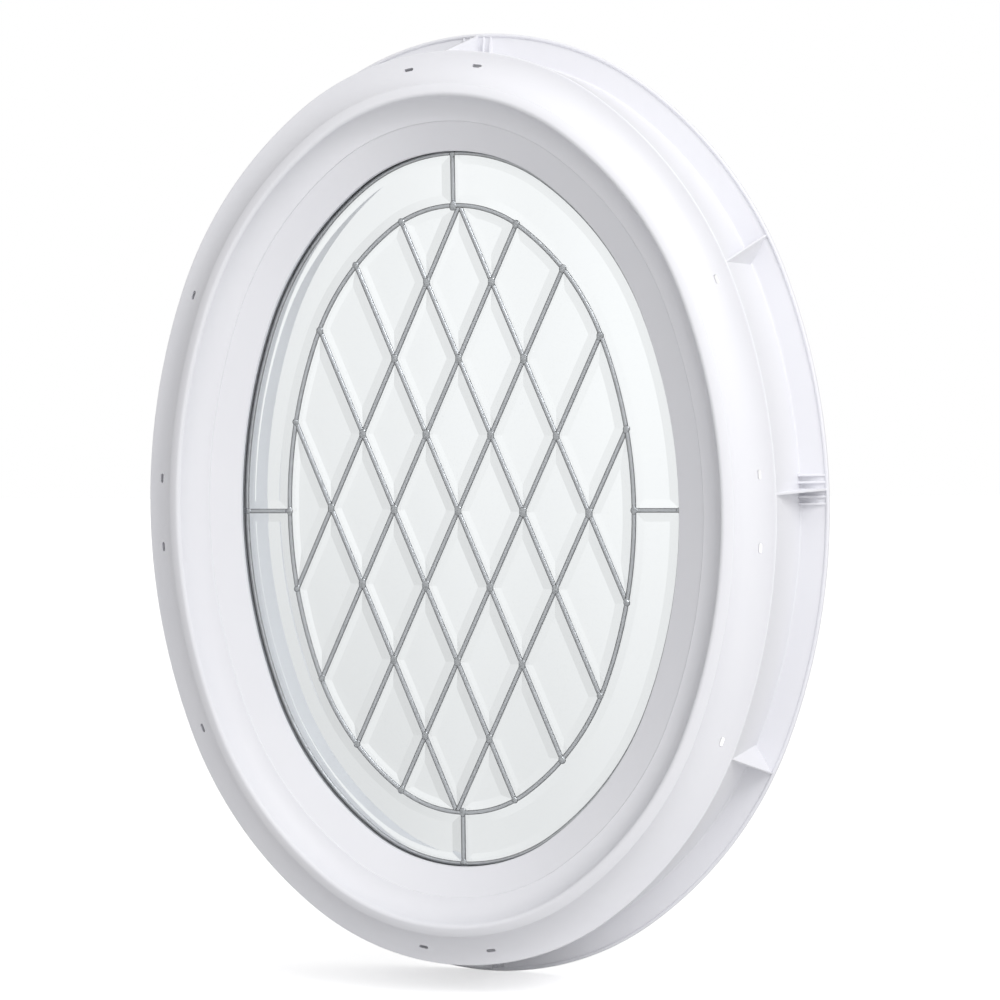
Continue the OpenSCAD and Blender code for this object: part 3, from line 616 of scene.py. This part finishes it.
def solder_drop(at, ways, chance):
    """A drop of solder: a low dome that runs out a little along each came that it joins."""
    bm = bmesh.new()
    size = SOLDER_R * chance.uniform(*DROP_WIDTHS)
    top = CAME_THICK / 2 + SOLDER_RISE * chance.uniform(*DROP_RISES)
    rim = CHANNEL / 2 + SOLDER_RIM
    tip = bm.verts.new((0, -top * MM, 0))
    for k in range(1, DROP_RINGS + 1):
        tip = bmesh.ops.extrude_vert_indiv(bm, verts=[tip])["verts"][0]
        share = k / DROP_RINGS * math.pi / 2
        tip.co = (size * math.sin(share) * MM, -(rim + (top - rim) * math.cos(share) ** DROP_FULLNESS) * MM, 0)
    bmesh.ops.spin(bm, geom=bm.verts[:] + bm.edges[:], cent=(0, 0, 0), axis=(0, 1, 0), angle=math.tau,
                   steps=DROP_SIDES, use_merge=True)
    bmesh.ops.remove_doubles(bm, verts=bm.verts, dist=MERGE * MM)
    for v in bm.verts:
        if math.hypot(v.co.x, v.co.z) > MERGE * MM:
            turn = math.atan2(v.co.z, v.co.x)
            pull = max(math.cos(turn - math.radians(w)) for w in ways)
            reach = DROP_WAIST + DROP_RUN * max(0, pull) ** RUN_NARROWNESS
            v.co.x *= reach
            v.co.z *= reach
    bmesh.ops.recalc_face_normals(bm, faces=bm.faces)
    bmesh.ops.translate(bm, vec=(at.x * MM, -PANEL_DEPTH * MM, at.y * MM), verts=bm.verts)
    return bm


def soldered_joints():
    """The solder of the whole panel, each drop a little unlike the next, and the same in every run."""
    chance = random.Random(11)
    bm = bmesh.new()
    for at, ways in joints():
        take_in(bm, solder_drop(at, ways, chance))
    piece("soldered_joints", bm, SOLDER, "solder_joints", sharp=60)


moulded_frame()
carried_came("inner_oval_came", 0, PANEL, "oval_came")
carried_came("border_oval_came", BORDER_MIDDLE, SIGHT, "border_came")
soldered_joints()


# Finishes of the nodes that keep their own shape

FINISH = {"stop_ring": VINYL, "glazing_tape": BUTYL, "outer_spacer": BUTYL, "inner_spacer": BUTYL,
          "outer_pane": FLOAT, "inner_pane": FLOAT, "bars": ZINC}
for name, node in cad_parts.items():
    if "glass" in name or name.startswith("diamond"):
        finish = BEVELLED
    elif "_came_" in name:
        finish = ZINC
    else:
        finish = FINISH.get(name)
    if finish:
        node.data.materials.clear()
        node.data.materials.append(finish)


# Floor, light and camera

# Half the floor's width in metres, and the white added to it where the camera sees it
FLOOR_HALF, FLOOR_LIFT = 12, 0.55

# The key light's place and the point that it shines on, its width in metres and its watts
KEY_AT, KEY_AIM, KEY_WIDTH, KEY_WATTS = (2.2, -1.75, 2.1), (0, -0.08, 0), 1.5, 43

# The camera: degrees round to the right and up, metres away, degrees of roll, lens in millimetres, shift
CAMERA_TURN, CAMERA_LIFT, CAMERA_DISTANCE, CAMERA_ROLL = 17.6, 2.67, 2.5705, 0.93
LENS, SENSOR, SHIFT_X, SHIFT_Y = 88.49, 36, 0.0462, 0.0114


def studio_floor():
    """A plain pale floor that meets the white background and keeps the window's shadow."""
    material, tree = start_material("pale_studio_floor")
    path = add(tree, "ShaderNodeLightPath", {})
    paint = add(tree, "ShaderNodeBsdfDiffuse", {"Color": colour("#F2F2F2")})
    lift = add(tree, "ShaderNodeMath", {0: path.outputs["Is Camera Ray"], 1: FLOOR_LIFT}, operation="MULTIPLY")
    white = add(tree, "ShaderNodeEmission", {"Strength": lift.outputs[0]})
    seen = add(tree, "ShaderNodeAddShader", {0: paint.outputs["BSDF"], 1: white.outputs["Emission"]})
    bounce = add(tree, "ShaderNodeBsdfDiffuse", {"Color": colour("#E6E6E6")})
    both = add(tree, "ShaderNodeMixShader", {0: path.outputs["Is Diffuse Ray"], 1: seen.outputs["Shader"],
                                             2: bounce.outputs["BSDF"]})
    add(tree, "ShaderNodeOutputMaterial", {"Surface": both.outputs["Shader"]})
    bm = bmesh.new()
    bmesh.ops.create_grid(bm, x_segments=1, y_segments=1, size=FLOOR_HALF)
    bmesh.ops.translate(bm, vec=(0, 0, cad_box[0].z - 0.2 * MM), verts=bm.verts)
    mesh = bpy.data.meshes.new("studio_floor")
    bm.to_mesh(mesh)
    bm.free()
    mesh.materials.append(material)
    floor = bpy.data.objects.new("studio_floor", mesh)
    # Metal and glass see the white air past the floor, so that no horizon cuts through the bevels
    floor.visible_glossy = floor.visible_transmission = False
    bpy.context.scene.collection.objects.link(floor)


def glow(tree, way, direction, start, end, weak, strong):
    """The air's light round a direction: weak up to a first nearness to it, and strong from a second one on."""
    nearness = add(tree, "ShaderNodeVectorMath", {0: way, 1: Vector(direction).normalized()},
                   operation="DOT_PRODUCT")
    return add(tree, "ShaderNodeMapRange", {
        "Value": nearness.outputs["Value"], "From Min": start, "From Max": end, "To Min": weak, "To Max": strong,
    }, interpolation_type="SMOOTHSTEP").outputs["Result"]


def studio_air():
    """A white surround, plain white where the camera sees it.

    As light it is soft and strongest from the front right, with some from behind. Metal and glass mirror a bright
    ceiling and wall at the upper left. Through the panes it is white, a little greyer to the left and low down.
    """
    world = bpy.data.worlds.new("white_studio")
    world.use_nodes = True
    tree = world.node_tree
    tree.nodes.clear()
    path = add(tree, "ShaderNodeLightPath", {})
    way = add(tree, "ShaderNodeTexCoord", {}).outputs["Generated"]

    from_right = glow(tree, way, (0.72, -0.62, 0.24), -0.4, 0.5, 0.09, 0.88)
    from_behind = glow(tree, way, (0, 1, 0.15), 0.3, 0.85, 0, 0.5)
    soft = add(tree, "ShaderNodeMath", {0: from_right, 1: from_behind}, operation="ADD").outputs[0]

    mirrored = glow(tree, way, (-0.75, -0.45, 0.55), 0.0, 0.72, 0.1, 1.0)

    across = add(tree, "ShaderNodeSeparateXYZ", {"Vector": way})
    drape = add(tree, "ShaderNodeTexNoise", {"W": across.outputs["X"], "Scale": 16, "Detail": 1},
                noise_dimensions="1D")
    through = add(tree, "ShaderNodeMapRange", {
        "Value": drape.outputs["Fac"], "From Min": 0.3, "From Max": 0.7, "To Min": 0.96, "To Max": 1.0,
    }, interpolation_type="SMOOTHSTEP").outputs["Result"]
    grey_left = glow(tree, way, (1, 0, 0), -0.46, -0.22, 0.8, 1.0)
    grey_low = glow(tree, way, (0, 0, 1), -0.18, 0.03, 0.85, 1.0)
    for shade in (grey_left, grey_low):
        through = add(tree, "ShaderNodeMath", {0: through, 1: shade}, operation="MULTIPLY").outputs[0]

    strength = soft
    for ray, seen in (("Is Glossy Ray", mirrored), ("Is Transmission Ray", through), ("Is Camera Ray", 1.0)):
        chosen = add(tree, "ShaderNodeMix", {SHARE: path.outputs[ray], FIRST_VALUE: strength, SECOND_VALUE: seen})
        strength = chosen.outputs["Result"]
    air = add(tree, "ShaderNodeBackground", {"Color": colour("#FFFFFF"), "Strength": strength})
    add(tree, "ShaderNodeOutputWorld", {"Surface": air.outputs["Background"]})
    bpy.context.scene.world = world


def key_light():
    """A soft square light at the upper right."""
    lamp = bpy.data.lights.new("key_light", "AREA")
    lamp.shape, lamp.size, lamp.energy = "SQUARE", KEY_WIDTH, KEY_WATTS
    holder = bpy.data.objects.new("key_light", lamp)
    holder.location = KEY_AT
    holder.rotation_euler = (Vector(KEY_AIM) - Vector(KEY_AT)).to_track_quat("-Z", "Y").to_euler()
    bpy.context.scene.collection.objects.link(holder)


def photo_camera():
    """Stands where the photograph was taken: to the right of the window, a little above its middle."""
    turn, lift, roll = (math.radians(a) for a in (CAMERA_TURN, CAMERA_LIFT, CAMERA_ROLL))
    back = Vector((math.sin(turn) * math.cos(lift), -math.cos(turn) * math.cos(lift), math.sin(lift)))
    upright = (-back).to_track_quat("-Z", "Y").to_matrix()
    lens = bpy.data.cameras.new("photo_camera")
    lens.lens, lens.sensor_width = LENS, SENSOR
    lens.shift_x, lens.shift_y = SHIFT_X, SHIFT_Y
    camera = bpy.data.objects.new("photo_camera", lens)
    camera.location = Vector((0, -SIGHT_DEPTH * MM, 0)) + back * CAMERA_DISTANCE
    camera.rotation_euler = (upright @ Matrix.Rotation(-roll, 3, "Z")).to_euler()
    bpy.context.scene.collection.objects.link(camera)
    bpy.context.scene.camera = camera


studio_floor()
studio_air()
key_light()
photo_camera()
bpy.context.scene.view_settings.view_transform = "Standard"
